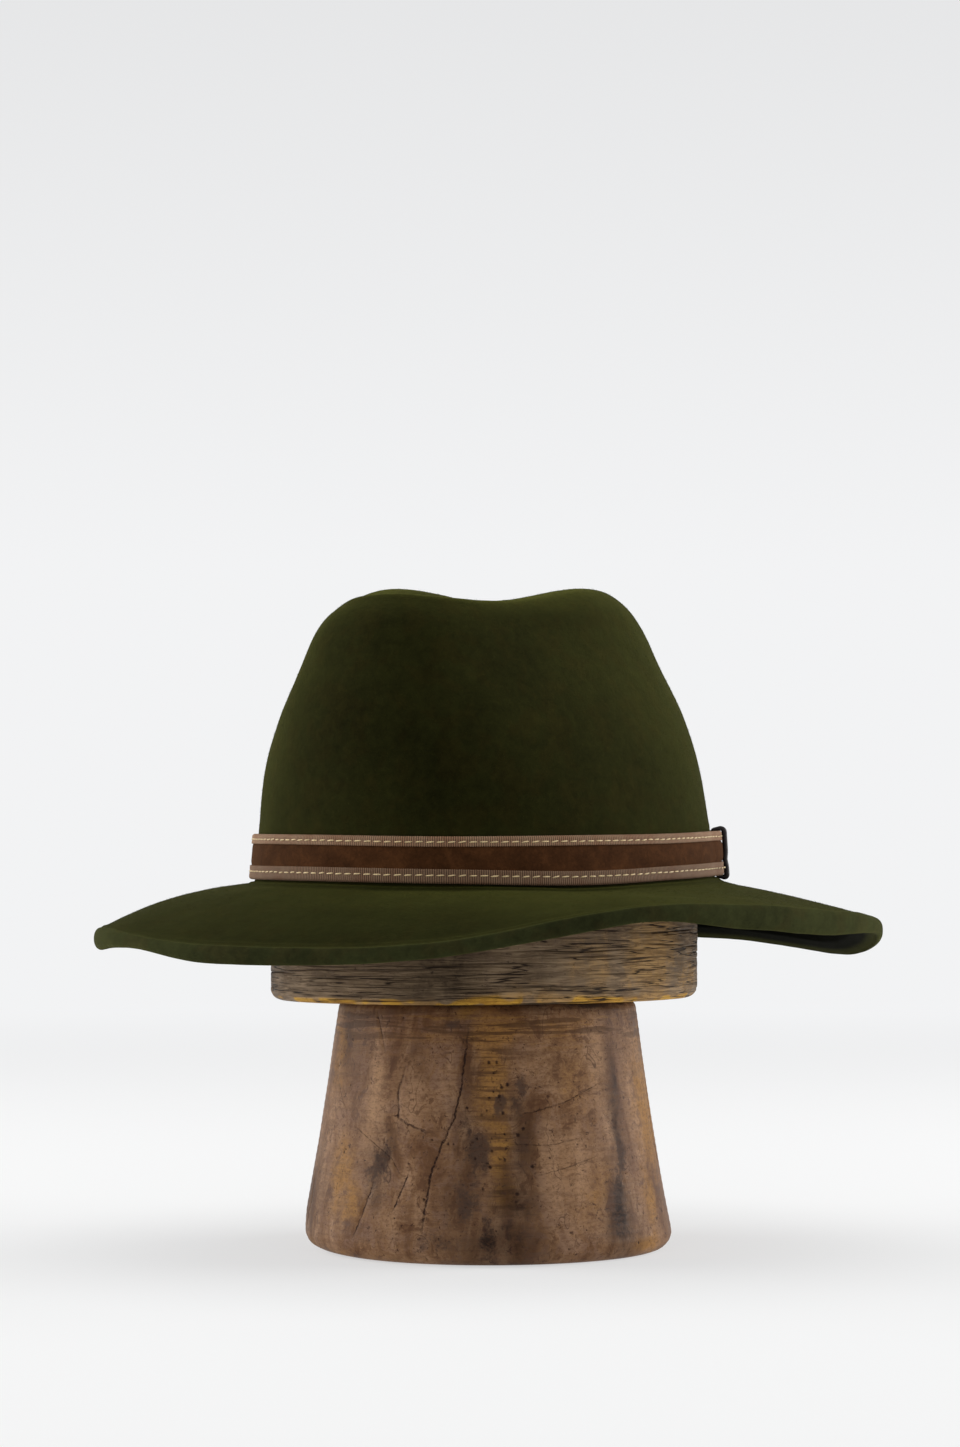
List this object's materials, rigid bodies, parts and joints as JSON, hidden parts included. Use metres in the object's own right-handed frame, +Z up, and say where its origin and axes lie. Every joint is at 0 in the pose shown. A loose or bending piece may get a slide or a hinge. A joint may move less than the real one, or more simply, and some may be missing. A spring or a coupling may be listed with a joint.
{
  "type": "felt hat on wooden hat stand",
  "caption": "Green wool felt hat with a dented crown, a waved brim with a turned-under edge and a bound suede band with a keeper, resting on an oval block over a tapered wooden foot.",
  "frame": {"origin": "on the floor, at the middle of the stand's flat base", "axes": "+Z up, -Y towards the hat's front, +X towards the wearer's left"},
  "size_m": [0.3042, 0.3318, 0.2646],
  "materials": {
    "felt": "dense olive wool felt, matt with a soft sheen and short fibres",
    "suede": "brown suede with a soft nap",
    "ribbon": "taupe ribbed ribbon with cream stitching",
    "keeper_leather": "near-black smooth leather",
    "block_wood": "dry grey-brown old wood with dark grain cracks and a worn ochre lower edge",
    "pedestal_wood": "old mottled brown wood with stains, scratches and a dull polish"
  },
  "bodies": {
    "root": {"stand_pedestal": "pedestal_wood", "stand_block": "block_wood", "hat_body": "felt", "band_suede": "suede", "ribbon_upper": "ribbon", "ribbon_lower": "ribbon", "keeper": "keeper_leather"}
  },
  "joints": []
}
